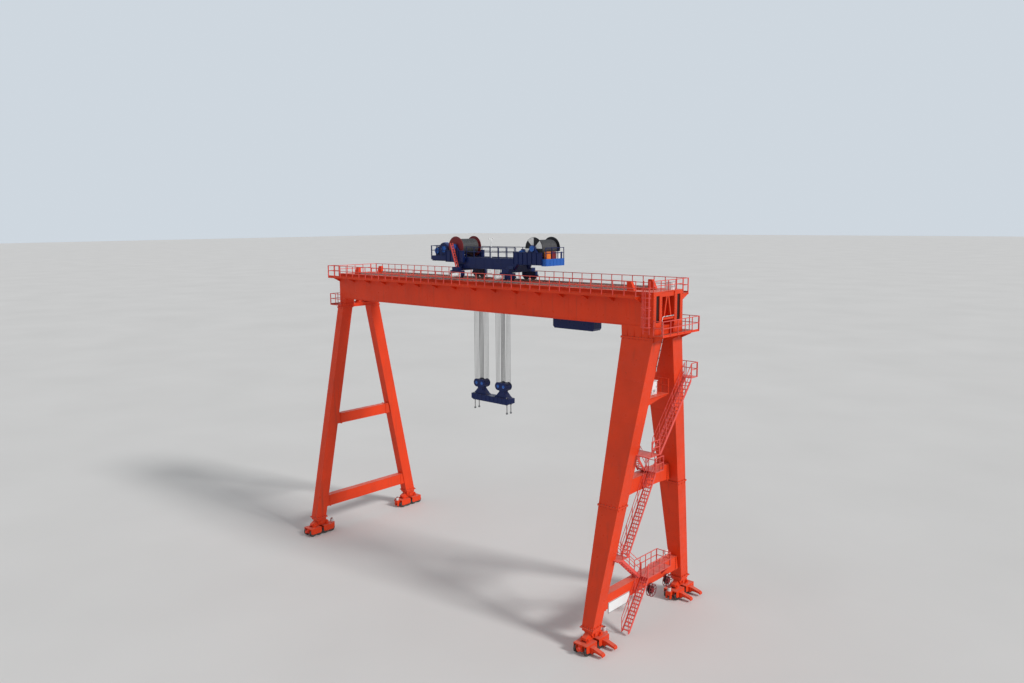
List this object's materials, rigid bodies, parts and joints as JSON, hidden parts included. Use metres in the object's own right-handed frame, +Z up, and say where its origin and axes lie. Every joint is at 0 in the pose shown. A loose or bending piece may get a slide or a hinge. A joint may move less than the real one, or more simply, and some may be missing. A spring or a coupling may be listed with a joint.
{
  "type": "gantry crane",
  "caption": "Rail-mounted gantry crane with twin box girders, A-shaped leg frames, a winch trolley and a rope-hung spreader beam for lifting bridge girders.",
  "frame": {"origin": "on the ground, under the middle of the crane's outer box", "axes": "+X along the girders towards the wide rigid legs, +Y along the ground rails, +Z up"},
  "size_m": [38.6, 15.2, 29.5498],
  "materials": {
    "orange_paint": "semi-gloss",
    "red_stair_paint": "satin",
    "navy_paint": "semi-gloss",
    "white_paint": "satin",
    "pale_motor_paint": "satin",
    "dark_red_paint": "satin",
    "dark_drum_paint": "satin",
    "rail_steel": "worn",
    "worn_steel": "worn",
    "rope_steel": "greased",
    "rod_steel": "satin"
  },
  "bodies": {
    "root": {"front_girder": "orange_paint", "back_girder": "orange_paint", "near_end_frame": "orange_paint", "far_end_frame": "orange_paint", "trolley_rails": "rail_steel", "rail_end_stops": "orange_paint", "front_walkway": "orange_paint", "back_walkway": "orange_paint", "front_railing": "orange_paint", "back_railing": "orange_paint", "end_railings": "orange_paint", "near_head_platform": "orange_paint", "far_head_platform": "orange_paint", "head_railings": "orange_paint", "caged_ladder": "red_stair_paint", "rigid_leg_saddle": "orange_paint", "rigid_leg_left": "orange_paint", "rigid_leg_right": "orange_paint", "rigid_leg_tie": "orange_paint", "rigid_leg_sill": "orange_paint", "flexible_leg_saddle": "orange_paint", "flexible_leg_left": "orange_paint", "flexible_leg_right": "orange_paint", "flexible_leg_tie": "orange_paint", "flexible_leg_sill": "orange_paint", "near_left_bogie": "orange_paint", "near_right_bogie": "orange_paint", "far_left_bogie": "orange_paint", "far_right_bogie": "orange_paint", "near_wheels": "worn_steel", "far_wheels": "worn_steel", "near_drives": "orange_paint", "far_drives": "orange_paint", "stair_sides": "red_stair_paint", "stair_treads": "red_stair_paint", "stair_landings": "red_stair_paint", "landing_railings": "red_stair_paint", "upper_ladder": "red_stair_paint", "cabinet_bracket": "orange_paint", "electrical_cabinets": "white_paint", "cable_reels": "dark_red_paint", "panel_board": "white_paint", "underslung_housing": "navy_paint"},
    "trolley": {"trolley_frame": "navy_paint", "trolley_bogies": "navy_paint", "trolley_wheels": "worn_steel", "trolley_drives": "pale_motor_paint", "left_winch": "navy_paint", "right_winch": "navy_paint", "trolley_railings": "navy_paint", "trolley_ladder": "red_stair_paint", "mast": "white_paint", "upper_pulleys": "worn_steel", "left_ropes": "rope_steel", "right_ropes": "rope_steel"},
    "left_drum_body": {"left_drum": "dark_red_paint"},
    "right_drum_body": {"right_drum": "dark_drum_paint"},
    "spreader": {"spreader_beam": "navy_paint", "pulley_blocks": "navy_paint", "lifting_rods": "rod_steel"}
  },
  "joints": [
    {"name": "trolley_travel", "type": "slide", "parent": "root", "child": "trolley", "axis": [1, 0, 0], "range_m": [-12.9, 11]},
    {"name": "hoist", "type": "slide", "parent": "trolley", "child": "spreader", "axis": [0, 0, 1], "range_m": [-14, 5.4], "deforming": ["left_ropes", "right_ropes"]},
    {"name": "left_drum_spin", "type": "hinge", "parent": "trolley", "child": "left_drum_body", "pos_m": [-2.45, 0, 28.65], "axis": [0, 1, 0], "range_deg": [-9872, 3811]},
    {"name": "right_drum_spin", "type": "hinge", "parent": "trolley", "child": "right_drum_body", "pos_m": [6.55, 0, 28.65], "axis": [0, 1, 0], "range_deg": [-3811, 9872]}
  ],
  "couplings": [
    {"joint": "left_drum_spin", "follows": "hoist", "rad_per_m": 12.3},
    {"joint": "right_drum_spin", "follows": "hoist", "rad_per_m": -12.3}
  ]
}
